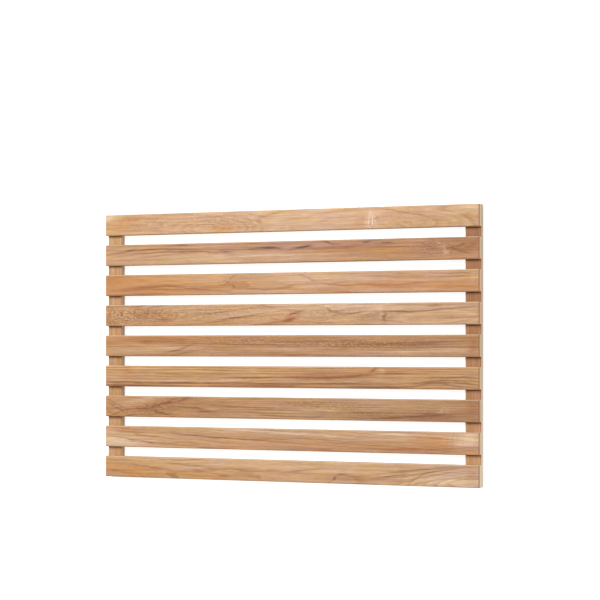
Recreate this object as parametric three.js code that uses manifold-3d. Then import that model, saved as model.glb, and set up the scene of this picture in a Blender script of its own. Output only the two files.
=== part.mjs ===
// Slatted teak bath mat, lying flat as it is used, with the walking face up.
//
// Nine flat slats run along X and rest on two cross battens, one under each end. Every
// crossing is held from below by two countersunk stainless screws, set diagonally so that the
// frame can't rack. Four round rubber feet are let into the undersides of the battens.
//
// Millimetres, +Z up. The origin is on the floor, under the middle of the mat.

import * as THREE from 'three';
import { mergeVertices } from 'three/addons/utils/BufferGeometryUtils.js';
import Module from 'manifold-3d';

const wasm = await Module();
wasm.setup();

// Driving dimensions. Timber
const matLength = 600; // X, along the slats
const matWidth = 400; // Y, across them
const slatCount = 9;
const slatWidth = 32;
const slatThickness = 8.5;
const battenWidth = 24;
const battenThickness = 9.5;
const edgeEase = 1; // chamfer on the edges of every board

// Screws
const threadDiameter = 3.5;
const headDiameter = 7;
const headRim = 0.4; // straight rim between the head's face and its cone
const headSetback = 0.5; // from the batten's underside up to the head's face
const pointLength = 3;
const woodOverPoint = 2.5; // left between a screw's point and the walking face
const screwToBattenSide = 7; // from a screw's axis to the nearer side of the batten
const screwToSlatEdge = 8; // from a screw's axis to the nearer edge of the slat
const driveSpan = 4; // cross recess in the head, tip to tip
const driveSlot = 0.9; // width of one blade of the recess
const driveDepth = 1.3;
const screwSides = 12;

// Feet
const footDiameter = 14;
const footProud = 2; // below the batten
const footSunk = 2; // inside the batten's recess
const footEase = 0.6;
const footSides = 24;

const clearance = 0.3; // round everything that sits in a hole

// Levels, from the floor up
const battenBase = footProud;
const slatBase = battenBase + battenThickness;
const screwBase = battenBase + headSetback;

// Places that follow from the sizes above
const slatPitch = (matWidth - slatWidth) / (slatCount - 1);
const battenX = (matLength - battenWidth) / 2;
const screwLength = slatBase + slatThickness - woodOverPoint - screwBase;
const screwX = battenWidth / 2 - screwToBattenSide;
const screwY = slatWidth / 2 - screwToSlatEdge;
const footY = (matWidth - slatWidth - slatPitch) / 2; // midway between the two outer slats
const screwPairs = [
  { name: 'a', x: -screwX, y: screwY },
  { name: 'b', x: screwX, y: -screwY },
];
const battenSides = [
  { name: 'left', x: -battenX },
  { name: 'right', x: battenX },
];
const slatCentres = Array.from({ length: slatCount }, (_, i) => (matWidth - slatWidth) / 2 - i * slatPitch);

const teak = new THREE.MeshStandardMaterial({ color: 0xc19066, roughness: 0.62, metalness: 0 });
const battenTeak = new THREE.MeshStandardMaterial({ color: 0xb4835a, roughness: 0.66, metalness: 0 });
const stainless = new THREE.MeshStandardMaterial({ color: 0xb9bbbd, roughness: 0.32, metalness: 1 });
const rubber = new THREE.MeshStandardMaterial({ color: 0x2b2b2c, roughness: 0.85, metalness: 0 });

// A closed geometry as a solid that can be cut.
function solidOf(geometry) {
  const bare = geometry.clone();
  bare.deleteAttribute('normal');
  bare.deleteAttribute('uv');
  const welded = mergeVertices(bare, 1e-4);
  return new wasm.Manifold(new wasm.Mesh({
    numProp: 3,
    vertProperties: new Float32Array(welded.attributes.position.array),
    triVerts: new Uint32Array(welded.index.array),
  }));
}

// A solid as flat-shaded geometry again.
function geometryOf(solid) {
  const mesh = solid.getMesh();
  const shared = new THREE.BufferGeometry();
  shared.setAttribute('position', new THREE.BufferAttribute(mesh.vertProperties, 3));
  shared.setIndex(new THREE.BufferAttribute(mesh.triVerts, 1));
  const flat = shared.toNonIndexed();
  flat.computeVertexNormals();
  return flat;
}

// The solid left when every cutter is taken out of a geometry.
function cut(geometry, cutters) {
  return geometryOf(cutters.reduce((rest, cutter) => rest.subtract(solidOf(cutter)), solidOf(geometry)));
}

// A turned shape about Z, from [radius, height] pairs that start and end on the axis.
function turned(profile, sides) {
  const points = profile.map(([radius, height]) => new THREE.Vector2(radius, height));
  return new THREE.LatheGeometry(points, sides).rotateX(Math.PI / 2);
}

// A planed board with all its edges eased, along X, centred on X and Y, with its base at z = 0.
function board(length, width, thickness) {
  const y = width / 2 - edgeEase;
  const z = thickness / 2 - edgeEase;
  const section = new THREE.Shape([
    [-y, -z - edgeEase], [y, -z - edgeEase], [y + edgeEase, -z], [y + edgeEase, z],
    [y, z + edgeEase], [-y, z + edgeEase], [-y - edgeEase, z], [-y - edgeEase, -z],
  ].map(([a, b]) => new THREE.Vector2(a, b)));
  const geometry = new THREE.ExtrudeGeometry(section, {
    depth: length - 2 * edgeEase,
    steps: 1,
    bevelEnabled: true,
    bevelThickness: edgeEase,
    bevelSize: edgeEase,
    bevelOffset: -edgeEase,
    bevelSegments: 1,
  });
  geometry.translate(0, 0, edgeEase - length / 2);
  geometry.applyMatrix4(new THREE.Matrix4().makeBasis(
    new THREE.Vector3(0, 1, 0), new THREE.Vector3(0, 0, 1), new THREE.Vector3(1, 0, 0),
  ));
  return geometry.translate(0, 0, thickness / 2);
}

// A screw that points up, with the face of its countersunk head at z = 0.
function screw() {
  const head = headDiameter / 2;
  const shank = threadDiameter / 2;
  const body = turned([
    [0, 0], [head, 0], [head, headRim], [shank, headRim + head - shank],
    [shank, screwLength - pointLength], [0, screwLength],
  ], screwSides);
  const blades = [0, 1].map((quarter) => new THREE.BoxGeometry(driveSpan, driveSlot, 2 * driveDepth)
    .rotateZ(quarter * Math.PI / 2));
  return cut(body, blades);
}

// The hole through a batten, from its underside at z = 0, with the countersink for the head.
function battenHole() {
  const mouth = headDiameter / 2 + clearance;
  const bore = threadDiameter / 2 + clearance;
  const rim = headSetback + headRim;
  return turned([
    [0, -1], [mouth, -1], [mouth, rim], [bore, rim + mouth - bore],
    [bore, battenThickness + 1], [0, battenThickness + 1],
  ], screwSides);
}

// The blind hole up into a slat, from its underside at z = 0.
function slatHole() {
  const bore = threadDiameter / 2 + clearance;
  const depth = slatThickness - woodOverPoint + clearance;
  return turned([[0, -1], [bore, -1], [bore, depth - pointLength / 2], [clearance, depth], [0, depth]], screwSides);
}

function foot() {
  const radius = footDiameter / 2;
  return turned([
    [0, 0], [radius - footEase, 0], [radius, footEase],
    [radius, footProud + footSunk - clearance], [0, footProud + footSunk - clearance],
  ], footSides);
}

// The shallow round recess that takes a foot, from the batten's underside at z = 0.
function footRecess() {
  const radius = footDiameter / 2 + clearance;
  return turned([[0, -1], [radius, -1], [radius, footSunk], [0, footSunk]], footSides);
}

function slat() {
  const holes = battenSides.flatMap((side) => screwPairs.map((place) => (
    slatHole().translate(side.x + place.x, place.y, 0))));
  return cut(board(matLength, slatWidth, slatThickness), holes);
}

function batten() {
  const holes = slatCentres.flatMap((y) => screwPairs.map((place) => (
    battenHole().translate(place.x, y + place.y, 0))));
  const recesses = [footY, -footY].map((y) => footRecess().translate(0, y, 0));
  return cut(board(matWidth, battenWidth, battenThickness).rotateZ(Math.PI / 2), [...holes, ...recesses]);
}

const mat = new THREE.Group();

function add(name, geometry, material, x, y, z) {
  const mesh = new THREE.Mesh(geometry, material);
  mesh.name = name;
  mesh.position.set(x, y, z);
  mat.add(mesh);
}

const slatGeometry = slat();
slatCentres.forEach((y, i) => add(`slat_${i + 1}`, slatGeometry, teak, 0, y, slatBase));

const battenGeometry = batten();
const screwGeometry = screw();
const footGeometry = foot();
for (const side of battenSides) {
  add(`batten_${side.name}`, battenGeometry, battenTeak, side.x, 0, battenBase);
  slatCentres.forEach((y, i) => {
    for (const place of screwPairs) {
      const name = `screw_${side.name}_${i + 1}${place.name}`;
      add(name, screwGeometry, stainless, side.x + place.x, y + place.y, screwBase);
    }
  });
  add(`foot_${side.name}_far`, footGeometry, rubber, side.x, footY, 0);
  add(`foot_${side.name}_near`, footGeometry, rubber, side.x, -footY, 0);
}

export default mat;
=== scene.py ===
import math

import bmesh
import bpy
from mathutils import Euler, Matrix, Vector


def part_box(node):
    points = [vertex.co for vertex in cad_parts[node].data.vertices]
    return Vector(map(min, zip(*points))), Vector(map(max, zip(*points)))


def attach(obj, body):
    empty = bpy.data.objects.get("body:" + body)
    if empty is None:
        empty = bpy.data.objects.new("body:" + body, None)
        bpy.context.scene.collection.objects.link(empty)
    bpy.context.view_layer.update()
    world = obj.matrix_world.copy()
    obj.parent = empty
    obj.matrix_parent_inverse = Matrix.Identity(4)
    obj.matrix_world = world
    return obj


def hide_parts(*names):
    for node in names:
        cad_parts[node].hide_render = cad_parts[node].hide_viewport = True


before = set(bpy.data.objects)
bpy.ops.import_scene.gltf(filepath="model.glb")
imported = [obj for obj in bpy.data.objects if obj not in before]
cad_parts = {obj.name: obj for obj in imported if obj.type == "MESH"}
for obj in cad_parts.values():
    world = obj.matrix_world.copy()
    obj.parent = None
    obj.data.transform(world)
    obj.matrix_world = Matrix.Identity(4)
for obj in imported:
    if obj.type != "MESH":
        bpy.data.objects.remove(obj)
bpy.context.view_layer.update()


# ---------------------------------------------------------------------------------------------
# Slats. Nine planed teak boards, each cut from another plank, so each has its own figure. Their
# arrises are sanded round, and two blind holes at each end take the screws from below.

SLAT_COUNT = 9
ARRIS = 0.0011  # radius of the sanded edges
THREAD_ROOM = 0.0001  # between a screw's thread and its hole
OPEN_END = 0.001  # a cutting shape runs this far past the face that it cuts through
DRILL_POINT = 0.002  # depth of the cone at the bottom of a blind hole
MM = 1000  # the figure of the wood is worked out in millimetres
PORE_TONE = "6b4026"
# painted highlight for the far arrises; it also makes the top arris at the left end paler
HIGHLIGHT_TONE = "ebcaa9"
# painted shade for the front arrises; it also darkens the top arris at the right end
DARK_EDGE_TONE = "7d5035"

SCREWS = sorted(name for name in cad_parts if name.startswith("screw_"))


def board(low, high):
    """A board between two corners, with its edges sanded round."""
    bm = bmesh.new()
    bmesh.ops.create_cube(bm, size=1)
    bmesh.ops.scale(bm, vec=high - low, verts=bm.verts)
    bmesh.ops.translate(bm, vec=(low + high) / 2, verts=bm.verts)
    bmesh.ops.bevel(bm, geom=bm.edges[:], offset=ARRIS, offset_type="OFFSET", segments=4,
                    profile=0.5, affect="EDGES", material=-1)
    return bm


def turned(profile, steps):
    """A shape turned about Z from (radius, height) points that start and end on the axis."""
    bm = bmesh.new()
    points = [bm.verts.new((radius, 0, height)) for radius, height in profile]
    edges = [bm.edges.new(pair) for pair in zip(points, points[1:])]
    bmesh.ops.spin(bm, geom=points + edges, cent=(0, 0, 0), axis=(0, 0, 1), angle=math.tau,
                   steps=steps, use_merge=True)
    bmesh.ops.remove_doubles(bm, verts=bm.verts, dist=1e-6)
    bmesh.ops.recalc_face_normals(bm, faces=bm.faces)
    return bm


def gather(target, part, centre):
    """Moves a bmesh so that its origin is at centre, adds it to another, and frees it."""
    bmesh.ops.translate(part, vec=centre, verts=part.verts)
    carrier = bpy.data.meshes.new("carrier")
    part.to_mesh(carrier)
    part.free()
    target.from_mesh(carrier)
    bpy.data.meshes.remove(carrier)


def piece(name, bm):
    """A finished mesh as an object at the origin, with its faces shaded smooth."""
    mesh = bpy.data.meshes.new(name)
    bm.to_mesh(mesh)
    bm.free()
    mesh.shade_smooth()
    made = bpy.data.objects.new(name, mesh)
    bpy.context.scene.collection.objects.link(made)
    return made


def cut(target, bm):
    """Cuts a shape out of a piece."""
    cutter = piece("cutter", bm)
    hole = target.modifiers.new("holes", "BOOLEAN")
    hole.operation = "DIFFERENCE"
    hole.solver = "EXACT"
    hole.object = cutter
    bake_modifiers(target)
    bpy.data.objects.remove(cutter)


def bake_modifiers(target):
    """Makes what a piece's modifiers do part of its mesh."""
    evaluated = target.evaluated_get(bpy.context.evaluated_depsgraph_get())
    mesh = bpy.data.meshes.new_from_object(evaluated)
    target.modifiers.clear()
    target.data = mesh


def even_shading(target):
    """Lets the flat faces of a piece set the normals, so that only its rounded edges turn."""
    weighted = target.modifiers.new("even shading", "WEIGHTED_NORMAL")
    weighted.weight = 100
    weighted.keep_sharp = True
    bake_modifiers(target)


def middle(node):
    """The middle of a CAD node's box."""
    low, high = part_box(node)
    return (low + high) / 2


def place(tree, kind, sockets=None, **settings):
    """Adds a shader node. Its sockets are given by name or number, as values or as links."""
    made = tree.nodes.new("ShaderNode" + kind)
    for name, value in settings.items():
        setattr(made, name, value)
    for name, value in (sockets or {}).items():
        if isinstance(value, bpy.types.NodeSocket):
            tree.links.new(value, made.inputs[name])
        else:
            made.inputs[name].default_value = value
    return made


def calc(tree, operation, *values):
    """A sum on numbers, such as ADD or MULTIPLY."""
    return place(tree, "Math", dict(enumerate(values)), operation=operation).outputs[0]


def ramp(tree, value, start, end, low=0.0, high=1.0):
    """Runs smoothly from low to high while the value goes from start to end."""
    sockets = {0: value, 1: start, 2: end, 3: low, 4: high}
    return place(tree, "MapRange", sockets, interpolation_type="SMOOTHSTEP").outputs[0]


def mix(tree, amount, first, second, mode="MIX"):
    """The first colour with the second laid over it, as much as amount says."""
    sockets = {0: amount, 6: first, 7: second}
    made = place(tree, "Mix", sockets, data_type="RGBA", blend_type=mode)
    return made.outputs[2]


def noise(tree, where, stretch, detail=2.0, roughness=0.5):
    """Noise from 0 to 1 whose spots are about as long as stretch, in millimetres, each way."""
    shrink = [1 / length for length in stretch]
    scaled = place(tree, "VectorMath", {0: where, 1: shrink}, operation="MULTIPLY").outputs[0]
    sockets = {"Vector": scaled, "Scale": 1.0, "Detail": detail, "Roughness": roughness}
    return place(tree, "TexNoise", sockets).outputs[0]


def colour(text):
    """A shader colour from the usual six hexadecimal digits."""
    parts = [int(text[i:i + 2], 16) / 255 for i in (0, 2, 4)]
    linear = [part / 12.92 if part <= 0.04045 else ((part + 0.055) / 1.055) ** 2.4 for part in parts]
    return (*linear, 1.0)


def group(name, inputs, outputs):
    """An empty shader node group with its sockets, and the nodes that stand for them."""
    tree = bpy.data.node_groups.new(name, "ShaderNodeTree")
    for direction, sockets in (("INPUT", inputs), ("OUTPUT", outputs)):
        for socket, kind in sockets.items():
            tree.interface.new_socket(socket, in_out=direction, socket_type="NodeSocket" + kind)
    return tree, tree.nodes.new("NodeGroupInput").outputs, tree.nodes.new("NodeGroupOutput").inputs


def make_spot():
    """A soft spot or stroke on a board, 1 along its middle: a swell, a stain or a single vein."""
    inputs = {"Board": "Vector", "Place": "Vector", "Reach": "Vector", "Slope": "Float", "Curve": "Float"}
    tree, given, result = group("soft spot", inputs, {"Spot": "Float"})
    away = place(tree, "VectorMath", {0: given["Board"], 1: given["Place"]}, operation="SUBTRACT")
    split = place(tree, "SeparateXYZ", {0: away.outputs[0]}).outputs
    reach = place(tree, "SeparateXYZ", {0: given["Reach"]}).outputs
    square = calc(tree, "MULTIPLY", split[0], split[0])
    sloped = calc(tree, "MULTIPLY", split[0], given["Slope"])
    line = calc(tree, "MULTIPLY_ADD", square, given["Curve"], sloped)
    along = calc(tree, "POWER", calc(tree, "ABSOLUTE", calc(tree, "DIVIDE", split[0], reach[0])), 2.0)
    off = calc(tree, "ABSOLUTE", calc(tree, "DIVIDE", calc(tree, "SUBTRACT", split[1], line), reach[1]))
    fall = calc(tree, "MULTIPLY", calc(tree, "ADD", along, calc(tree, "POWER", off, 2.0)), -1.0)
    tree.links.new(calc(tree, "EXPONENT", fall), result["Spot"])
    return tree


def make_teak():
    """Teak in the solid: rings round a pith that leans along the board, with fibres and pores."""
    inputs = {
        "Board": "Vector", "Half Size": "Vector", "Pith": "Vector", "Lean": "Vector",
        "Ring Width": "Float", "Wander": "Float", "Swell": "Float", "Tone": "Color",
        "Vein": "Color", "End And Lit Side Tone": "Color", "Vein Depth": "Float", "Streaks": "Float",
        "Painted Side Light": "Float", "Seed": "Float",
    }
    outputs = {"Color": "Color", "Roughness": "Float", "Height": "Float"}
    tree, given, result = group("teak", inputs, outputs)
    split = place(tree, "SeparateXYZ", {0: given["Board"]}).outputs
    shift = place(tree, "CombineXYZ", {0: given["Seed"], 1: given["Seed"], 2: given["Seed"]})
    seeded = place(tree, "VectorMath", {0: given["Board"], 1: shift.outputs[0]}, operation="ADD").outputs[0]

    # The rings: the distance from the pith, bent by slow noise and by any knot.
    axis = place(tree, "VectorMath", {0: given["Lean"], 3: split[0]}, operation="SCALE").outputs[0]
    pith = place(tree, "VectorMath", {0: given["Pith"], 1: axis}, operation="ADD").outputs[0]
    off = place(tree, "VectorMath", {0: given["Board"], 1: pith}, operation="SUBTRACT").outputs[0]
    flat = place(tree, "VectorMath", {0: off, 1: (0.0, 1.0, 1.0)}, operation="MULTIPLY").outputs[0]
    radius = place(tree, "VectorMath", {0: flat}, operation="LENGTH").outputs[1]
    slow = calc(tree, "SUBTRACT", noise(tree, seeded, (150, 26, 26), 1.0), 0.5)
    quick = calc(tree, "SUBTRACT", noise(tree, seeded, (30, 6, 6), 3.0, 0.6), 0.5)
    bend = calc(tree, "MULTIPLY", calc(tree, "MULTIPLY_ADD", quick, 0.2, slow), given["Wander"])
    bent = calc(tree, "ADD", calc(tree, "ADD", radius, bend), given["Swell"])
    years = calc(tree, "DIVIDE", bent, given["Ring Width"])
    along_years = place(tree, "CombineXYZ", {0: years, 1: given["Seed"], 2: 0.0}).outputs[0]
    uneven = noise(tree, along_years, (2.6, 1, 1), 1.0)
    years = calc(tree, "MULTIPLY_ADD", uneven, 1.6, years)
    season = calc(tree, "FRACT", years)
    year = place(tree, "CombineXYZ", {0: calc(tree, "FLOOR", years), 1: given["Seed"], 2: 0.0})
    chance = place(tree, "TexWhiteNoise", {0: year.outputs[0]}).outputs[0]
    strong = ramp(tree, chance, 0.0, 1.0, 0.4, 1.0)
    rise = ramp(tree, season, 0.0, 0.08)
    fade = ramp(tree, season, 0.08, 0.5, 1.0, 0.0)
    faint = ramp(tree, noise(tree, seeded, (70, 9, 9), 2.0), 0.35, 0.6, 0.3, 1.0)
    vein = calc(tree, "MULTIPLY", calc(tree, "MULTIPLY", rise, fade), calc(tree, "MULTIPLY", strong, faint))
    late = ramp(tree, season, 0.5, 1.0, 0.0, 0.25)

    # What lies along the fibres: broad streaks, bands, fine fibres and open pores.
    streak = ramp(tree, noise(tree, seeded, (260, 5, 5), 4.0, 0.6), 0.48, 0.72)
    band = noise(tree, seeded, (75, 2.4, 2.4), 3.0, 0.65)
    fibre = noise(tree, seeded, (18, 1.1, 1.1), 3.0, 0.7)
    fleck = noise(tree, seeded, (7, 0.32, 0.32), 1.0)
    pore = calc(tree, "MULTIPLY", ramp(tree, fleck, 0.60, 0.72), calc(tree, "MULTIPLY_ADD", vein, 0.7, 0.3))
    patch = noise(tree, seeded, (55, 9, 9), 3.0)

    # The colour, from the board's own tone down to the pores.
    golden = mix(tree, 1.0, given["Tone"], (1.03, 1.01, 0.86, 1), "MULTIPLY")
    rosy = mix(tree, 1.0, given["Tone"], (1.02, 1.0, 1.06, 1), "MULTIPLY")
    tone = mix(tree, ramp(tree, patch, 0.36, 0.62), rosy, golden)
    depth = calc(tree, "MULTIPLY", calc(tree, "MAXIMUM", vein, late), given["Vein Depth"])
    tone = mix(tree, depth, tone, given["Vein"])
    tone = mix(tree, calc(tree, "MULTIPLY", streak, given["Streaks"]), tone, given["Vein"])
    light = calc(tree, "MULTIPLY", ramp(tree, fibre, 0.25, 0.75, 0.86, 1.14),
                 ramp(tree, band, 0.3, 0.7, 0.87, 1.15))
    shade = place(tree, "CombineColor", {0: light, 1: light, 2: light}).outputs[0]
    tone = mix(tree, 1.0, tone, shade, "MULTIPLY")
    tone = mix(tree, calc(tree, "MULTIPLY", pore, 0.4), tone, colour(PORE_TONE))

    # Painted highlight lightens the long arrises at the back, and painted shade darkens those at the
    # front. The top arris is paler at the left end and darker at the right. Sawn ends stay pale and
    # dry, and the long sides of a board take painted light, as much as is given for them.
    size = place(tree, "SeparateXYZ", {0: given["Half Size"]}).outputs
    past = [calc(tree, "SUBTRACT", calc(tree, "ABSOLUTE", split[i]), size[i]) for i in range(3)]
    near = [ramp(tree, past[i], -1.8, -0.2) for i in range(3)]
    long_arrises = calc(tree, "MULTIPLY", near[1], calc(tree, "MAXIMUM", near[0], near[2]))
    # Painted highlight along the far long arrises, then a paler top arris at the left end.
    highlight_and_pale_left = calc(tree, "MULTIPLY", long_arrises, ramp(tree, split[1], -1.0, 1.0, 0.0, 0.75))
    left = ramp(tree, calc(tree, "ADD", split[0], size[0]), 1.8, 0.6, 0.0, 0.5)
    highlight_and_pale_left = calc(tree, "MAXIMUM", highlight_and_pale_left, calc(tree, "MULTIPLY", near[2], left))
    tone = mix(tree, highlight_and_pale_left, tone, colour(HIGHLIGHT_TONE))
    # Painted shade along the front long arrises, then a darker top arris at the right end.
    painted_shade = calc(tree, "MULTIPLY", long_arrises, ramp(tree, split[1], -1.0, 1.0, 0.6, 0.0))
    right = ramp(tree, calc(tree, "SUBTRACT", split[0], size[0]), -1.7, -0.9, 0.0, 0.9)
    corner = calc(tree, "MULTIPLY", near[2], right)
    tone = mix(tree, calc(tree, "MAXIMUM", painted_shade, corner), tone, colour(DARK_EDGE_TONE))
    end = ramp(tree, past[0], -0.2, -0.05, 0.0, 0.75)
    # Painted light on the long sides of a board, in the tone of its ends.
    bare = calc(tree, "MULTIPLY", ramp(tree, past[1], -0.5, -0.1), given["Painted Side Light"])
    tone = mix(tree, calc(tree, "MAXIMUM", end, bare), tone, given["End And Lit Side Tone"])
    tree.links.new(tone, result["Color"])
    rough = calc(tree, "MULTIPLY_ADD", fibre, 0.22, 0.48)
    tree.links.new(calc(tree, "MULTIPLY_ADD", long_arrises, -0.06, rough), result["Roughness"])
    low = calc(tree, "MULTIPLY_ADD", pore, -1.0, calc(tree, "MULTIPLY", fibre, 0.5))
    tree.links.new(calc(tree, "MULTIPLY_ADD", vein, -0.35, low), result["Height"])
    return tree


SPOT = make_spot()
TEAK = make_teak()
MARKS = {
    "vein": ("7b4827", (30, 1.4, 1.4)), "rust": ("98512b", (30, 1.4, 1.4)),
    # the shadow line is painted shadow that a slat casts on a batten
    "stain": ("513a3a", (24, 1.4, 1.4)), "shadow_line": ("57361f", (4, 4, 4)), "curl": ("84502c", (5, 2.0, 2.0)),
    "glint": ("eccba2", (4, 1.7, 1.7)), "ripple": ("f0d6ba", (2.4, 16, 16)),
    "gold": ("c98a4c", (40, 4, 4)), "pale": ("ecd0b2", (40, 3, 3)),
}


def wood_spot(tree, where, x, y, length, width, slope, curve):
    """One soft spot at x and y; curve is how far it has turned aside 100 mm from there."""
    made = place(tree, "Group", node_tree=SPOT)
    tree.links.new(where, made.inputs["Board"])
    made.inputs["Place"].default_value = (x, y, 0)
    made.inputs["Reach"].default_value = (length, width, 1)
    made.inputs["Slope"].default_value = slope
    made.inputs["Curve"].default_value = curve / 100 ** 2
    return made.outputs[0]


def tone_along(tree, along, texts):
    """A board's tone from its left end to its right, through evenly spaced colours."""
    made = place(tree, "ValToRGB", {0: along})
    stops = made.color_ramp.elements
    for i, text in enumerate(texts[:-1]):
        stop = stops.new(i / (len(texts) - 1)) if i else stops[0]
        stop.color = colour(text)
    stops[-1].color = colour(texts[-1])
    return made.outputs[0]


def teak(name, low, high, turn, figure):
    """One board's own teak. Its figure says how it was cut and what shows in it, in millimetres
    from the board's middle; turn is the angle that brings its length onto X."""
    material = bpy.data.materials.new(name)
    material.use_nodes = True
    tree = material.node_tree
    shader = tree.nodes["Principled BSDF"]
    turned_middle = Matrix.Rotation(turn, 3, "Z") @ ((low + high) / 2)
    size = Matrix.Rotation(turn, 3, "Z") @ (high - low)
    half = [abs(side) / 2 * MM for side in size]
    where = place(tree, "Mapping", {
        "Vector": place(tree, "TexCoord").outputs["Object"],
        "Location": -turned_middle * MM, "Rotation": (0, 0, turn), "Scale": (MM, MM, MM),
    }).outputs[0]

    # A little unevenness, so that no tone or mark on the board has a ruled edge.
    rough = calc(tree, "SUBTRACT", noise(tree, where, (22, 5, 5), 3.0, 0.6), 0.5)
    slow = calc(tree, "SUBTRACT", noise(tree, where, (60, 12, 12), 2.0), 0.5)
    aside = calc(tree, "MULTIPLY_ADD", slow, 3.0, calc(tree, "MULTIPLY", rough, 3.5))
    along_grain = calc(tree, "MULTIPLY", rough, 25.0)
    shaken = place(tree, "CombineXYZ", {0: along_grain, 1: aside, 2: 0.0}).outputs[0]
    uneven = place(tree, "VectorMath", {0: where, 1: shaken}, operation="ADD").outputs[0]

    split = place(tree, "SeparateXYZ", {0: where}).outputs
    along = calc(tree, "MULTIPLY_ADD", slow, 0.12, calc(tree, "DIVIDE", split[0], 2 * half[0]))
    along = calc(tree, "ADD", along, 0.5)
    lower = ramp(tree, calc(tree, "MULTIPLY_ADD", slow, 10.0, split[1]), 8.0, -8.0)
    upper_tone = tone_along(tree, along, figure["upper"])
    tone = mix(tree, lower, upper_tone, tone_along(tree, along, figure["lower"]))
    broken = {}
    for kind, amount, *shape in figure.get("marks", ()):
        mark_tone, stretch = MARKS[kind]
        if kind not in broken:
            least = 0.0 if kind in ("curl", "glint", "ripple") else 0.5
            broken[kind] = ramp(tree, noise(tree, where, stretch, 2.0, 0.6), 0.36, 0.62, least, 1.0)
        # A painted shadow line keeps to the top face of a batten.
        if kind == "shadow_line":
            cover = calc(tree, "MULTIPLY", wood_spot(tree, where, *shape), ramp(tree, split[2], 3.0, 4.0))
        else:
            cover = calc(tree, "MULTIPLY", wood_spot(tree, uneven, *shape), broken[kind])
        tone = mix(tree, calc(tree, "MULTIPLY", cover, amount), tone, colour(mark_tone))
    swell = 0.0
    for lift, *shape in figure.get("knots", ()):
        swell = calc(tree, "MULTIPLY_ADD", wood_spot(tree, where, *shape), lift, swell)
    made = place(tree, "Group", node_tree=TEAK)
    values = {
        "Board": where, "Half Size": half, "Pith": (0, *figure["pith"]), "Lean": (0, *figure["lean"]),
        "Ring Width": figure["rings"], "Wander": figure["wander"], "Swell": swell,
        "Tone": tone, "Vein": colour(figure["vein"]), "End And Lit Side Tone": tone_along(tree, along, figure["end_and_lit_side_tones"]),
        "Vein Depth": figure["depth"], "Streaks": figure["streaks"],
        "Painted Side Light": figure.get("bare", 0.0), "Seed": figure["seed"],
    }
    for socket, value in values.items():
        if isinstance(value, bpy.types.NodeSocket):
            tree.links.new(value, made.inputs[socket])
        else:
            made.inputs[socket].default_value = value
    tree.links.new(made.outputs["Color"], shader.inputs["Base Color"])
    tree.links.new(made.outputs["Roughness"], shader.inputs["Roughness"])
    bump = place(tree, "Bump", {"Height": made.outputs["Height"], "Strength": 0.5, "Distance": 0.0002})
    tree.links.new(bump.outputs[0], shader.inputs["Normal"])
    shader.inputs["Specular IOR Level"].default_value = 0.35
    return material


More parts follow.
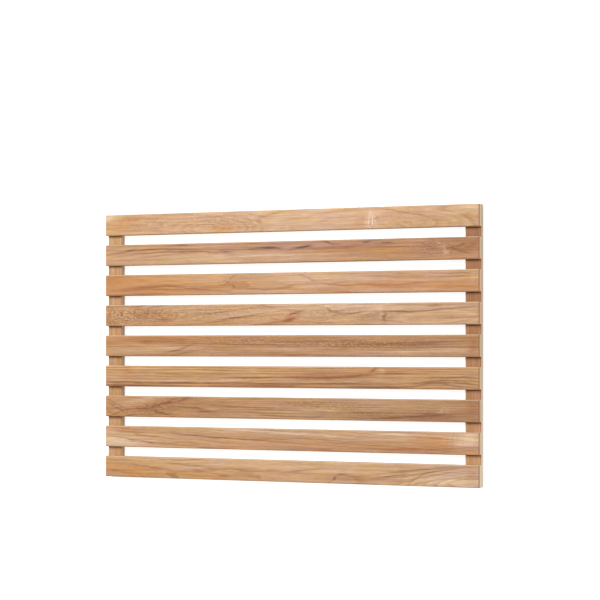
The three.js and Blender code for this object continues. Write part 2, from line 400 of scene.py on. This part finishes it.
# Each knot is how far it pushes the rings out, and each mark a tone and its strength. Then come
# the middle, the reach along and across the board, the slope and the curve.
FIGURES = [
    {  # pale honey, with two onion shapes where the saw crossed swollen rings
        "upper": ("d5ad84", "d7b18d", "d9b696", "d4aa86", "d0ac89"),
        "lower": ("d2a87d", "d3ab86", "d5b090", "cba381", "cfa983"),
        "pith": (-8, -46), "lean": (0.02, 0.03), "rings": 3.4, "wander": 9, "vein": "ab7a48", "depth": 0.7,
        "streaks": 0.05, "seed": 11, "end_and_lit_side_tones": ("dccfbd", "ccbba4"),
        "knots": ((22, -125, -9, 75, 15, 0, 0), (16, 205, -8, 55, 13, -0.05, 0)),
        "marks": (
            ("gold", 0.8, -262, 5, 26, 9, 0.25, 0), ("pale", 0.75, -292, 13, 24, 6, 0.42, 0),
            ("curl", 0.3, -225, 2, 40, 14, 0, 0), ("curl", 0.3, -120, 2, 55, 12, 0, 0),
            ("curl", 0.3, -60, -6, 34, 10, -0.1, 0), ("gold", 1, -97, -9.5, 18, 4, 0, 0),
            ("vein", 0.6, -114, -7, 5, 1.6, 0, 0), ("vein", 0.5, -57, 3, 24, 1.1, -0.24, 0),
            ("vein", 0.4, -66, -1, 20, 1.1, -0.24, 0), ("vein", 0.35, -44, 8, 24, 1.1, -0.2, 0),
            ("gold", 0.55, 118, -8, 12, 5, 0.2, 0), ("ripple", 0.95, 138, -3, 10, 11, 0, 0),
            ("vein", 0.5, 146, -2, 2, 7, 0, 0), ("curl", 0.25, 205, -4, 55, 12, -0.05, 0),
            ("vein", 0.65, 195, 6, 45, 1.2, -0.2, -8), ("curl", 0.25, 288, 0, 20, 12, 0, 0),
            ("gold", 0.6, 291, -2, 12, 3, 0, 0), ("pale", 0.4, 285, 11, 20, 4, 0, 0),
        ),
    },
    {  # a wavy dark vein with grey stains over it, and swirls near the right end
        "upper": ("c69b77", "cb9f7b", "bf9379", "ba8c6c", "bb8d63"),
        "lower": ("cfa47f", "cea885", "c99f7f", "bc8f67", "bf916d"),
        "pith": (-70, -20), "lean": (0.0, 0.0), "rings": 5.0, "wander": 7, "vein": "8a5a36", "depth": 0.55,
        "streaks": 0.2, "seed": 23, "end_and_lit_side_tones": ("dccfbd", "d1c3a5"),
        "knots": ((9, 229, 6, 10, 5, 0, 0), (18, 302, -1, 36, 13, 0, 0)),
        "marks": (
            ("stain", 0.16, 30, 12, 130, 5, -0.01, 0), ("pale", 0.5, -70, -5, 130, 3, 0, 0),
            ("vein", 0.95, -205, 8, 95, 1.3, 0.0, -9), ("vein", 0.75, -185, 4, 80, 1.1, 0.01, -7),
            ("vein", 0.5, -230, -4, 60, 1.2, 0.08, 0), ("vein", 1, -60, 5, 90, 1.1, -0.02, 0),
            ("stain", 0.9, -257, 7, 8, 1.4, 0.15, 0), ("stain", 0.95, -172, 13.5, 13, 1.8, 0, 0),
            ("stain", 1, -28, 6.5, 20, 1.7, 0, 0), ("stain", 0.9, -24, 6.5, 14, 1.2, 0, 0),
            ("stain", 1, 27, 6, 16, 2.2, 0.14, 0), ("stain", 0.9, 30, 6.5, 8, 1.4, 0.14, 0),
            ("stain", 0.8, 70, 12, 18, 1.6, -0.2, 0), ("stain", 0.9, 130, 11, 8, 1.5, 0, 0),
            ("stain", 0.85, 160, 9.5, 15, 1.4, 0, 0), ("rust", 1, 88, 5, 55, 1.3, 0.02, 0),
            ("vein", 0.75, 170, 4, 40, 1.1, -0.03, 0), ("gold", 0.8, 130, -1, 55, 4, -0.03, 0),
            ("vein", 0.8, -95, 1.5, 12, 1.8, 0, 0), ("vein", 0.6, 222, 4, 9, 1.3, -0.5, 60),
            ("pale", 0.8, 236, 8, 5, 1.5, -0.6, 0), ("pale", 0.7, 249, -1, 4, 7, 0, 0),
            ("rust", 0.5, 286, 2, 26, 11, 0, 0), ("stain", 0.4, 290, 4, 14, 4, 0.3, 0),
            ("vein", 0.9, 269, 4, 13, 1.3, 0.28, 0), ("vein", 0.9, 270, -2.5, 14, 1.3, -0.35, 0),
            ("stain", 0.8, 110, -15.6, 90, 0.9, 0, 0), ("curl", 0.5, 240, 0, 50, 12, 0, 0),
        ),
    },
    {  # orange tan, with arched veins and one that turns back on itself
        "upper": ("c28d5e", "ca9e76", "c8a081", "caa385", "c59a6f"),
        "lower": ("c68f60", "c79668", "c99f7c", "c59879", "bd8d65"),
        "pith": (12, -60), "lean": (0.0, 0.0), "rings": 4.6, "wander": 8, "vein": "a0612f", "depth": 0.55,
        "streaks": 0.15, "seed": 37, "end_and_lit_side_tones": ("dccfbd", "d4baa0"),
        "marks": (
            ("gold", 0.5, -240, 4, 70, 12, 0, 0), ("rust", 0.85, -222, -3, 40, 1.4, 0.05, -4),
            ("rust", 0.8, -165, -5, 32, 1.3, -0.14, 8), ("vein", 0.9, 42, 4.5, 18, 1.2, -0.32, 100),
            ("rust", 0.8, -215, -7, 60, 1.3, 0.0, -5), ("rust", 0.7, -235, -13.5, 55, 1.3, 0, 0),
            ("rust", 0.6, -130, -8, 40, 1.1, -0.08, 0), ("vein", 1, -87, -1, 9, 1.3, -0.65, 0),
            ("vein", 0.6, -85, 9, 9, 1.3, 0.9, 0), ("vein", 0.6, -25, -8.5, 60, 1.0, -0.01, 0),
            ("vein", 0.9, 90, -3.8, 36, 1.2, -0.05, 14), ("vein", 0.75, 205, -2, 70, 1.1, 0.03, 0),
            ("gold", 0.8, 150, -3, 50, 4, 0, 0), ("vein", 0.6, 275, 10, 40, 1.1, 0, 0),
            ("gold", 0.75, 255, -6, 50, 5, 0, 0), ("stain", 0.5, -5, -15.4, 26, 0.8, 0, 0),
            ("vein", 0.5, 260, 6, 50, 1.0, 0.02, 0), ("ripple", 0.2, 290, 3, 10, 10, 0, 0),
            ("pale", 0.4, 40, 4, 60, 7, 0, 0),
        ),
    },
    {  # curly and flecked at its left end, with a small bark pocket near its middle
        "upper": ("c3966e", "cca47f", "cea784", "d2af91", "c8a17c"),
        "lower": ("bf8d64", "c79a71", "cda27a", "cea683", "cea684"),
        "pith": (-30, -50), "lean": (0.05, 0.0), "rings": 3.4, "wander": 10, "vein": "8a5a34", "depth": 0.75,
        "streaks": 0.15, "seed": 41, "end_and_lit_side_tones": ("dccfbd", "cfb299"),
        "knots": ((12, -240, 1, 18, 8, 0, 0), (9, -195, -4, 16, 7, 0, 0), (7, 45, -3, 34, 9, 0, 0),
                  (10, 240, -6, 80, 10, 0.02, 0)),
        "marks": (
            ("curl", 0.9, -275, 0, 32, 15, 0, 0), ("curl", 0.7, -215, 0, 40, 11, 0, 0),
            ("glint", 0.5, -268, 0, 42, 15, 0, 0), ("glint", 0.35, -120, 0, 90, 15, 0, 0),
            ("curl", 0.35, -110, 0, 70, 14, 0, 0), ("curl", 0.3, 60, 0, 110, 13, 0, 0),
            ("rust", 0.6, -231, 1, 9, 4, 0.2, 0), ("rust", 0.6, -197, -6, 9, 4, 0, 0),
            ("vein", 0.9, -75, -4, 34, 1.2, 0.13, 0), ("vein", 0.7, -120, -11, 36, 1.1, 0.07, 0),
            ("vein", 0.6, -105, 4, 42, 1.0, 0.1, 0), ("pale", 0.6, -60, 1, 40, 2, 0.12, 0),
            ("rust", 1, 7, -8, 13, 3.2, 0.25, 0), ("rust", 0.9, 10, -7, 8, 2.0, 0.25, 0),
            ("rust", 1, 14, 1, 10, 2.2, 0.3, 0),
            ("pale", 0.7, 50, 12, 60, 4, -0.02, 0), ("vein", 0.95, 74, 6, 16, 1.3, -0.3, 0),
            ("vein", 0.85, 112, 2, 26, 1.2, 0.1, 0), ("vein", 0.7, 60, -12, 30, 1.0, -0.03, 0),
            ("vein", 0.85, 157, -4, 2.4, 7, 0, 0), ("pale", 0.6, 151, 0, 3, 7, 0, 0),
            ("vein", 0.95, 188, 3.5, 32, 1.3, 0, 0), ("vein", 0.9, 250, 6, 50, 1.2, 0.07, 0),
            ("rust", 0.8, 233, 11.5, 14, 1.4, 0.05, 0), ("rust", 0.6, -32, 13, 12, 1.8, -0.2, 0),
            ("vein", 0.6, 275, -6, 40, 1.1, 0.03, 0), ("vein", 0.6, -15, -11, 22, 1.2, 0.14, 0),
        ),
    },
    {  # darker and straight, bent once round a swelling left of the middle
        "upper": ("c39267", "c39165", "c0926c", "bf936c", "b5875b"),
        "lower": ("c89e70", "c0926c", "bb8f6b", "ba906e", "ba926a"),
        "pith": (95, -40), "lean": (0.0, 0.0), "rings": 3.2, "wander": 5, "vein": "845432", "depth": 0.65,
        "streaks": 0.12, "seed": 53, "end_and_lit_side_tones": ("dccfbd", "d1baa2"),
        "knots": ((7, -155, -16, 26, 16, 0, 0),),
        "marks": (
            ("rust", 0.6, -200, 9, 52, 5, 0, 0), ("rust", 0.8, -230, 6, 10, 2, 0, 0),
            ("pale", 0.45, -215, -4, 60, 3.5, 0.03, 0), ("vein", 0.9, -172, -5, 22, 1.5, 0.3, 30),
            ("vein", 0.6, -165, -11, 24, 1.2, 0.2, 0), ("curl", 0.5, -60, 8, 90, 8, 0, 0),
            ("curl", 0.75, 130, 2, 110, 7, 0, 0), ("vein", 0.6, -60, 2, 90, 1.0, -0.03, 0),
            ("vein", 0.5, 60, 7, 90, 1.2, -0.01, 0), ("vein", 0.5, 185, 2, 60, 2.6, 0.01, 0),
            ("vein", 0.6, 240, 5, 50, 1.1, 0.06, 0), ("pale", 0.45, 200, -8, 90, 3.0, 0.02, 0),
            ("pale", 0.3, 5, -4, 55, 1.6, 0.0, 0), ("rust", 0.6, 292, -2, 9, 12, 0, 0),
            ("rust", 0.7, 20, -13, 60, 1.2, -0.01, 0), ("rust", 0.6, -235, -14.5, 80, 1.2, 0, 0),
        ),
    },
    {  # golden, with long dark veins that sweep up and down again at the right
        "upper": ("d3a678", "d1a67a", "cea175", "c59368", "cda376"),
        "lower": ("ca9c73", "c5986d", "c79a6f", "c29465", "c69b72"),
        "pith": (110, -30), "lean": (0.0, 0.0), "rings": 4.4, "wander": 5, "vein": "6f3f1c", "depth": 0.95,
        "streaks": 0.25, "seed": 61, "end_and_lit_side_tones": ("dccfbd", "d8c0a0"),
        "knots": ((5, 240, -14, 50, 14, 0, 0),),
        "marks": (
            ("rust", 1, -180, -10.5, 150, 1.5, 0.01, 0), ("rust", 0.9, -255, -14, 44, 1.6, 0, 0),
            ("vein", 0.9, -60, -2, 60, 1.2, 0.01, 0), ("vein", 0.5, -170, 3, 80, 1.6, 0, 0),
            ("gold", 0.6, -262, 4, 10, 12, 0, 0), ("vein", 0.8, 80, 0, 55, 2.4, 0.05, 2),
            ("vein", 0.95, 60, -8.5, 85, 1.4, 0.03, 1), ("rust", 0.9, -30, -12.5, 80, 1.4, 0.01, 0),
            ("vein", 1, 236, -6.8, 36, 1.6, 0, -55), ("vein", 0.9, 150, -13, 60, 1.4, 0, 0),
            ("vein", 0.85, 262, 1, 50, 1.2, 0.03, 0), ("vein", 0.8, 248, -3, 42, 1.2, 0, -30),
            ("vein", 0.7, 175, 6, 20, 1.3, 0, 0), ("rust", 0.9, 142, 11, 8, 3.0, 0.5, 0),
            ("pale", 0.35, 153, 8, 8, 6, 0.5, 0), ("vein", 0.8, 130, 4, 40, 1.2, 0.05, 0),
            ("rust", 0.7, 40, 2, 50, 4, 0, 0), ("pale", 0.5, 130, -5, 90, 1.3, 0.03, 0),
            ("pale", 0.5, -150, -6, 140, 1.6, 0.01, 0),
        ),
    },
    {  # grey brown, with rings bent round a knot that the saw just missed
        "upper": ("c69a6a", "c09169", "c1966e", "bf9773", "b68b67"),
        "lower": ("c6946a", "bd8f64", "c19772", "b58b68", "b0845e"),
        "pith": (-90, -20), "lean": (0.0, 0.0), "rings": 3.4, "wander": 5, "vein": "774c30", "depth": 0.8,
        "streaks": 0.25, "seed": 73, "end_and_lit_side_tones": ("dccfbd", "cbb7a0"),
        "knots": ((18, -170, 18, 46, 14, 0, 0), (12, -300, -16, 34, 14, 0, 0)),
        "marks": (
            ("rust", 0.9, -277, -4, 20, 1.3, -0.5, 0), ("rust", 0.7, -283, 4, 24, 1.2, -0.45, 0),
            ("rust", 0.6, -290, -9, 14, 1.2, -0.5, 0), ("curl", 0.7, -215, 0, 50, 12, 0.1, 0),
            ("rust", 0.9, -234, -2, 9, 2.0, 0.1, 0), ("vein", 0.8, -212, 2, 14, 1.6, 0.25, 0),
            ("rust", 0.9, -192, 7, 12, 2.6, 0.35, 0), ("stain", 0.9, -160, 14.5, 10, 1.6, 0.1, 0),
            ("rust", 0.8, -168, 10, 18, 1.8, 0.25, 0), ("pale", 0.4, -235, 10, 40, 4, 0.2, 0),
            ("vein", 0.95, -205, -8, 18, 1.3, -0.2, 0), ("vein", 0.9, -196, -12, 14, 1.3, -0.25, 0),
            ("vein", 0.7, -150, -1, 30, 1.2, -0.1, 0), ("rust", 0.95, -128, -6, 16, 1.5, -0.05, 0),
            ("vein", 0.7, -80, 2, 70, 1.1, -0.04, 0), ("vein", 0.5, -60, -7, 70, 1.1, -0.02, 0),
            ("pale", 0.6, 50, -2, 70, 2.0, 0.02, 0), ("curl", 0.6, 225, -5, 32, 6, 0, 0),
            ("curl", 0.5, 140, -8, 50, 5, 0, 0), ("glint", 0.5, 246, -1, 9, 6, 0, 0),
            ("rust", 0.8, 238, -8, 24, 2.6, 0.03, -14), ("vein", 0.9, 200, -9, 60, 2.2, 0.06, 0),
            ("rust", 0.6, 215, -13.5, 50, 1.2, 0.0, 0), ("rust", 0.5, 290, 4, 12, 12, 0, 0),
            ("curl", 0.4, 60, 6, 90, 8, 0, 0),
        ),
    },
    {  # pale and pinkish, its grain running down to the right
        "upper": ("cfa681", "c59c75", "c8a07e", "c7a180", "c8a285"),
        "lower": ("d6b391", "c89c75", "c3956f", "c0906c", "c49671"),
        "pith": (80, -50), "lean": (-0.05, 0.0), "rings": 4.0, "wander": 7, "vein": "986237", "depth": 0.6,
        "streaks": 0.25, "seed": 83, "end_and_lit_side_tones": ("dccfbd", "d4c4ae"),
        "marks": (
            ("pale", 0.8, -280, -7, 44, 8, -0.1, 0), ("rust", 0.8, -240, -6, 55, 1.2, -0.13, 0),
            ("vein", 0.6, -225, 2, 60, 1.1, -0.11, 0), ("gold", 0.6, -262, 10, 20, 5, -0.2, 0),
            ("vein", 0.7, -130, 3, 70, 1.2, -0.06, 0), ("vein", 0.7, -60, -1, 75, 1.2, -0.03, 0),
            ("vein", 0.6, -150, -9, 45, 1.1, -0.05, 0), ("rust", 0.7, -145, -13, 50, 1.1, -0.04, 0),
            ("pale", 0.8, -60, 12, 70, 1.8, -0.02, 0), ("pale", 0.7, 50, 8, 55, 1.4, -0.04, 0),
            ("pale", 0.8, 170, 11, 34, 1.6, 0.03, 0), ("rust", 0.9, 195, -9.5, 32, 2.2, 0.02, 0),
            ("rust", 0.7, 55, -13, 40, 2.0, 0, 0), ("vein", 0.5, 60, 1, 60, 2.0, -0.03, 0),
            ("gold", 0.85, 232, 1, 32, 9, 0, 0), ("vein", 0.7, 265, -7, 44, 1.2, 0.07, 0),
            ("rust", 0.6, 262, -12, 36, 1.1, 0.03, 0), ("pale", 1, 285, 6, 17, 10, 0, 0),
            ("ripple", 0.3, 270, 4, 26, 10, 0, 0), ("rust", 0.6, 286, -9, 12, 1.2, 0, 0),
        ),
    },
    {  # honey tan, arched low at the left, and in nested arches at the right
        "upper": ("cda275", "d3ac88", "d4ad88", "d0a985", "cda98a"),
        "lower": ("c5996e", "c99e72", "cca179", "d0a886", "ceac90"),
        "pith": (-14, -60), "lean": (0.0, 0.0), "rings": 2.8, "wander": 8, "vein": "8f5d2c", "depth": 0.6,
        "streaks": 0.12, "seed": 97, "end_and_lit_side_tones": ("dccfbd", "dfd7c0"),
        "knots": ((20, 285, -12, 95, 17, 0.05, 0), (12, -290, -14, 80, 12, 0, 0)),
        "marks": (
            ("gold", 0.85, -245, -4, 50, 8, -0.08, 0), ("rust", 0.55, -222, 1, 50, 1.2, -0.12, -8),
            ("rust", 0.95, -187, -10, 5, 3, -0.3, 0), ("rust", 0.5, -225, -11, 4, 2.5, 0, 0),
            ("rust", 0.7, -280, -6, 22, 1.3, -0.12, 0), ("vein", 0.65, -160, 5, 40, 1.1, -0.07, 0),
            ("vein", 0.55, -125, -5, 34, 1.1, -0.15, 0), ("rust", 0.8, -98, -9.5, 8, 2.2, 0, 0),
            ("gold", 0.6, -130, -9, 60, 4, -0.05, 0), ("vein", 1, 79, -8, 8, 1.5, 0.7, 0),
            ("vein", 0.7, 92, -1, 8, 1.2, 0.1, 0), ("vein", 0.85, 165, -3, 30, 1.2, 0.17, 0),
            ("vein", 0.8, 185, 4, 48, 1.1, 0.12, 0), ("vein", 0.7, 215, -3, 42, 1.1, 0.17, 0),
            ("vein", 0.8, 190, -10, 18, 1.2, 0.25, 0), ("pale", 0.85, 240, -7, 44, 5, 0, 0),
            ("vein", 0.6, 25, 1, 24, 1.1, 0.1, 0), ("rust", 0.4, 120, -7, 60, 4, 0, 0),
            ("rust", 0.35, 290, 4, 12, 10, 0, 0), ("vein", 0.6, 225, 9, 60, 1.0, 0.08, 0),
            ("vein", 0.7, 200, 0, 50, 1.0, 0.15, 0), ("vein", 0.6, 225, -9, 30, 1.0, 0.2, 0),
        ),
    },
]

for number in range(1, SLAT_COUNT + 1):
    node = f"slat_{number}"
    low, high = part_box(node)
    slat = piece(f"teak_{node}", board(low, high))
    holes = bmesh.new()
    for screw in SCREWS:
        if screw[:-1].endswith(f"_{number}"):
            foot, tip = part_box(screw)
            thread = (tip.x - foot.x) / 4 + THREAD_ROOM
            depth = tip.z - low.z + THREAD_ROOM
            centre = middle(screw)
            profile = [(0, -OPEN_END), (thread, -OPEN_END), (thread, depth - DRILL_POINT), (0, depth)]
            gather(holes, turned(profile, 20), (centre.x, centre.y, low.z))
    cut(slat, holes)
    even_shading(slat)
    slat.data.materials.clear()
    slat.data.materials.append(teak(slat.name, low, high, 0.0, FIGURES[number - 1]))
    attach(slat, "root")
    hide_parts(node)


# ---------------------------------------------------------------------------------------------
# Cross battens. Two teak boards under the ends of the slats. Each is drilled and countersunk
# from below for every screw, and has a shallow round recess near each end for a foot.

FEET = sorted(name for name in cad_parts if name.startswith("foot_"))
SINK_ROOM = 0.00015  # round a screw's head and round a foot
RIM = 0.0004  # straight part of a screw's head

# Painted shadow lies in dark lines on the battens beside the near edge of every slat but the last,
# where each slat shades the batten. This is in millimetres too.
SLAT_PITCH = 46
EDGE = -16.8
SHADOW_LINES = [("shadow_line", 0.85, SLAT_PITCH * slat + EDGE, 0, 1.0, 18, 0, 0) for slat in range(-3, 5)]
# The long sides of each batten are lightened with painted light, in the tone given for its ends;  on the
# left batten this lights an inner side that lies in shade.
BATTEN_FIGURES = {
    "left": {
        "upper": ("cda377", "caa074", "d6af84"), "lower": ("cda377", "c69b6e", "d2aa7e"),
        "pith": (60, -30), "lean": (0.01, 0.0), "rings": 3.0, "wander": 6, "vein": "8f6040", "depth": 0.4,
        "streaks": 0.3, "bare": 0.75, "end_and_lit_side_tones": ("f3cda2", "f3cda2"), "seed": 107, "marks": SHADOW_LINES,
    },
    "right": {
        "upper": ("d6ab80", "b98860", "aa7954", "a8764f"),
        "lower": ("d6ab80", "b98860", "aa7954", "a8764f"),
        "pith": (-50, -30), "lean": (-0.01, 0.0), "rings": 2.8, "wander": 6, "vein": "6f4a30", "depth": 0.4,
        "streaks": 0.3, "bare": 0.8, "end_and_lit_side_tones": ("e4dbca", "dcd2c1", "d0c2b0", "cebaa5", "c9bba4"),
        "seed": 113, "marks": SHADOW_LINES,
    },
}
for side, figure in BATTEN_FIGURES.items():
    node = f"batten_{side}"
    low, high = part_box(node)
    batten = piece(f"teak_{node}", board(low, high))
    holes = bmesh.new()
    for screw in SCREWS:
        if screw.startswith(f"screw_{side}_"):
            foot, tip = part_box(screw)
            head = (tip.x - foot.x) / 2 + SINK_ROOM
            thread = (tip.x - foot.x) / 4 + THREAD_ROOM
            rim = foot.z - low.z + RIM
            centre = middle(screw)
            through = high.z - low.z + OPEN_END
            profile = [(0, -OPEN_END), (head, -OPEN_END), (head, rim),
                       (thread, rim + head - thread), (thread, through), (0, through)]
            gather(holes, turned(profile, 32), (centre.x, centre.y, low.z))
    for foot in FEET:
        if foot.startswith(f"foot_{side}_"):
            base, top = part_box(foot)
            radius = (top.x - base.x) / 2 + SINK_ROOM
            depth = top.z - low.z + SINK_ROOM
            centre = middle(foot)
            profile = [(0, -OPEN_END), (radius, -OPEN_END), (radius, depth), (0, depth)]
            gather(holes, turned(profile, 48), (centre.x, centre.y, low.z))
    cut(batten, holes)
    even_shading(batten)
    batten.data.materials.clear()
    batten.data.materials.append(teak(batten.name, low, high, -math.pi / 2, figure))
    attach(batten, "root")
    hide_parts(node)


# ---------------------------------------------------------------------------------------------
# Screws. Countersunk stainless wood screws with a cross recess, driven up through the battens
# into the slats. Only their heads show, in the undersides of the battens.

HEAD_EASE = 0.0002
POINT = 0.003  # length of the bare point
TIP = 0.0002  # its blunt tip
THREAD_END = 0.004  # the thread stops this far from the tip
THREAD_PITCH = 0.0013
THREAD_DEPTH = 0.00045
RECESS_SPAN = 0.0042
RECESS_SLOT = 0.0010
RECESS_DEPTH = 0.0015  # of the driver's blade, which goes in for nine tenths of it
RECESS_TAPER = (0.35, 0.6, 1)  # its tip against its mouth, in span and in slot
SHARP_ANGLE = math.radians(35)
TURN_STEP = 37  # degrees from one screw's recess to the next, as each stopped where it was tight


def make_steel():
    material = bpy.data.materials.new("stainless steel")
    material.use_nodes = True
    tree = material.node_tree
    shader = tree.nodes["Principled BSDF"]
    where = place(tree, "Mapping", {
        "Vector": place(tree, "TexCoord").outputs["Object"], "Scale": (MM, MM, MM),
    }).outputs[0]
    cloud = noise(tree, where, (2.2, 2.2, 2.2), 3.0)
    scratch = noise(tree, where, (0.25, 1.8, 0.25), 3.0, 0.7)
    tone = mix(tree, cloud, colour("a9aaab"), colour("cfd0d0"))
    tree.links.new(tone, shader.inputs["Base Color"])
    shader.inputs["Metallic"].default_value = 1.0
    tree.links.new(ramp(tree, scratch, 0.2, 0.8, 0.24, 0.46), shader.inputs["Roughness"])
    bump = place(tree, "Bump", {"Height": scratch, "Strength": 0.3, "Distance": 0.00004})
    tree.links.new(bump.outputs[0], shader.inputs["Normal"])
    return material


def screw_shape(length, head, thread):
    """A screw that points up, with the face of its head at zero."""
    core = thread - THREAD_DEPTH
    profile = [(0, 0), (head - HEAD_EASE, 0), (head, HEAD_EASE), (head, RIM),
               (core, RIM + head - core)]
    level = profile[-1][1] + THREAD_PITCH / 2
    while level < length - THREAD_END:
        profile += [(core, level), (thread, level + THREAD_PITCH * 0.3),
                    (thread, level + THREAD_PITCH * 0.4), (core, level + THREAD_PITCH * 0.7)]
        level += THREAD_PITCH
    profile += [(core, length - POINT), (TIP, length - TIP), (0, length)]
    return turned(profile, 24)


STEEL = make_steel()
low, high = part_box(SCREWS[0])
head_radius = (high.x - low.x) / 2
pattern = piece("screw_pattern", screw_shape(high.z - low.z, head_radius, head_radius / 2))
for quarter in range(2):
    blade = bmesh.new()
    bmesh.ops.create_cube(blade, size=1)
    bmesh.ops.scale(blade, vec=(RECESS_SPAN, RECESS_SLOT, RECESS_DEPTH), verts=blade.verts)
    deep = [vert for vert in blade.verts if vert.co.z > 0]
    bmesh.ops.scale(blade, vec=RECESS_TAPER, verts=deep)
    bmesh.ops.translate(blade, vec=(0, 0, RECESS_DEPTH * 0.4), verts=blade.verts)
    bmesh.ops.rotate(blade, cent=(0, 0, 0), matrix=Matrix.Rotation(quarter * math.pi / 2, 3, "Z"),
                     verts=blade.verts)
    cut(pattern, blade)
pattern.data.set_sharp_from_angle(angle=SHARP_ANGLE)
even_shading(pattern)
for node in SCREWS:
    low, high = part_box(node)
    mesh = pattern.data.copy()
    turn = (SCREWS.index(node) * TURN_STEP % 90) * math.pi / 180
    standing = Matrix.Translation((middle(node).x, middle(node).y, low.z))
    mesh.transform(standing @ Matrix.Rotation(turn, 4, "Z"))
    screw = bpy.data.objects.new(f"steel_{node}", mesh)
    bpy.context.scene.collection.objects.link(screw)
    mesh.materials.clear()
    mesh.materials.append(STEEL)
    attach(screw, "root")
    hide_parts(node)
bpy.data.objects.remove(pattern)


# ---------------------------------------------------------------------------------------------
# Feet. Four small round rubber pads, glued into the recesses in the battens and standing
# proud of them, with two moulded grooves for grip on the face that meets the floor.

FOOT_ROUND = 0.0006  # radius of the moulded edge at the floor
FOOT_EASE = 0.0002  # the smaller edge that is hidden in the recess
GROOVES = (0.0028, 0.0046)  # radius of each groove
GROOVE_DEPTH = 0.0005
GROOVE_MOUTH = 0.0004  # half its width at the face
GROOVE_FLOOR = 0.0002  # half its width at the bottom


def make_rubber():
    material = bpy.data.materials.new("black rubber")
    material.use_nodes = True
    tree = material.node_tree
    shader = tree.nodes["Principled BSDF"]
    where = place(tree, "Mapping", {
        "Vector": place(tree, "TexCoord").outputs["Object"], "Scale": (MM, MM, MM),
    }).outputs[0]
    bloom = noise(tree, where, (4, 4, 4), 4.0, 0.6)
    pits = noise(tree, where, (0.3, 0.3, 0.3), 2.0)
    tree.links.new(mix(tree, bloom, colour("232324"), colour("3a3a3b")), shader.inputs["Base Color"])
    tree.links.new(ramp(tree, bloom, 0.2, 0.8, 0.68, 0.88), shader.inputs["Roughness"])
    bump = place(tree, "Bump", {"Height": pits, "Strength": 0.4, "Distance": 0.00008})
    tree.links.new(bump.outputs[0], shader.inputs["Normal"])
    return material


RUBBER = make_rubber()
for node in FEET:
    low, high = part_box(node)
    radius = (high.x - low.x) / 2
    height = high.z - low.z
    profile = [(0, 0)]
    for groove in GROOVES:
        profile += [(groove - GROOVE_MOUTH, 0), (groove - GROOVE_FLOOR, GROOVE_DEPTH),
                    (groove + GROOVE_FLOOR, GROOVE_DEPTH), (groove + GROOVE_MOUTH, 0)]
    for step in range(5):
        angle = step * math.pi / 8
        profile.append((radius - FOOT_ROUND * (1 - math.sin(angle)), FOOT_ROUND * (1 - math.cos(angle))))
    profile += [(radius, height - FOOT_EASE), (radius - FOOT_EASE, height), (0, height)]
    pad = turned(profile, 48)
    bmesh.ops.translate(pad, vec=(middle(node).x, middle(node).y, low.z), verts=pad.verts)
    foot = piece(f"rubber_{node}", pad)
    foot.data.materials.append(RUBBER)
    even_shading(foot)
    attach(foot, "root")
    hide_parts(node)


# ---------------------------------------------------------------------------------------------
# Studio. A plain white floor that the mat lies on, a broad soft light over its far side, a
# weaker one beyond its right end, and pale surroundings. The camera looks down from the right.

FLOOR_GLOW = 0.75  # the floor glows to the camera only, so it looks white and lights nothing
ROOM_LIGHT = 0.55
ROOM_GLOW = 0.5  # what the camera sees of the room on top of its light

floor_bm = bmesh.new()
bmesh.ops.create_grid(floor_bm, x_segments=1, y_segments=1, size=8)
floor = piece("floor", floor_bm)
paint = bpy.data.materials.new("white floor")
paint.use_nodes = True
glow = place(paint.node_tree, "LightPath").outputs["Is Camera Ray"]
shader = paint.node_tree.nodes["Principled BSDF"]
shader.inputs["Base Color"].default_value = colour("f2f1ef")
shader.inputs["Roughness"].default_value = 0.8
shader.inputs["Emission Color"].default_value = (1, 1, 1, 1)
strength = calc(paint.node_tree, "MULTIPLY", glow, FLOOR_GLOW)
paint.node_tree.links.new(strength, shader.inputs["Emission Strength"])
floor.data.materials.append(paint)

world = bpy.data.worlds.new("pale room")
bpy.context.scene.world = world
world.use_nodes = True
background = world.node_tree.nodes["Background"]
background.inputs[0].default_value = colour("fbfaf8")
seen = place(world.node_tree, "LightPath").outputs["Is Camera Ray"]
strength = calc(world.node_tree, "MULTIPLY_ADD", seen, ROOM_GLOW, ROOM_LIGHT)
world.node_tree.links.new(strength, background.inputs[1])


def soft_light(name, stand, size, power):
    """A square light panel that faces the mat."""
    panel = bpy.data.lights.new(name, "AREA")
    panel.shape = "SQUARE"
    panel.size = size
    panel.energy = power
    lamp = bpy.data.objects.new(name, panel)
    lamp.location = stand
    lamp.rotation_mode = "QUATERNION"
    lamp.rotation_quaternion = Vector(stand).to_track_quat("Z", "Y")
    bpy.context.scene.collection.objects.link(lamp)


soft_light("far light", (-0.5, 1.3, 3.0), 1.4, 60)
soft_light("end light", (3.0, 0.2, 0.6), 1.6, 26)

CAMERA_AWAY = 2.769  # from the lens to the middle of the walking face, along the view
CAMERA_TURN = math.radians(23.57)  # round to the right
CAMERA_ASIDE = 0.0229  # the lens is this far to the right of a line through the mat's middle
CAMERA_SHIFT = 0.0763  # the mat sits this far below the middle of the view, as a part of its width
LENS = 113.2
SENSOR = 36.0
camera_data = bpy.data.cameras.new("camera")
camera_data.lens = LENS
camera_data.sensor_width = SENSOR
camera_data.shift_y = CAMERA_SHIFT
camera = bpy.data.objects.new("camera", camera_data)
turn = Euler((0, CAMERA_TURN, 0)).to_matrix()
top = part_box("slat_1")[1].z
camera.rotation_euler = turn.to_euler()
camera.location = Vector((0, 0, top)) + turn @ Vector((CAMERA_ASIDE, 0, CAMERA_AWAY))
bpy.context.scene.collection.objects.link(camera)
bpy.context.scene.camera = camera
bpy.context.scene.view_settings.view_transform = "Standard"
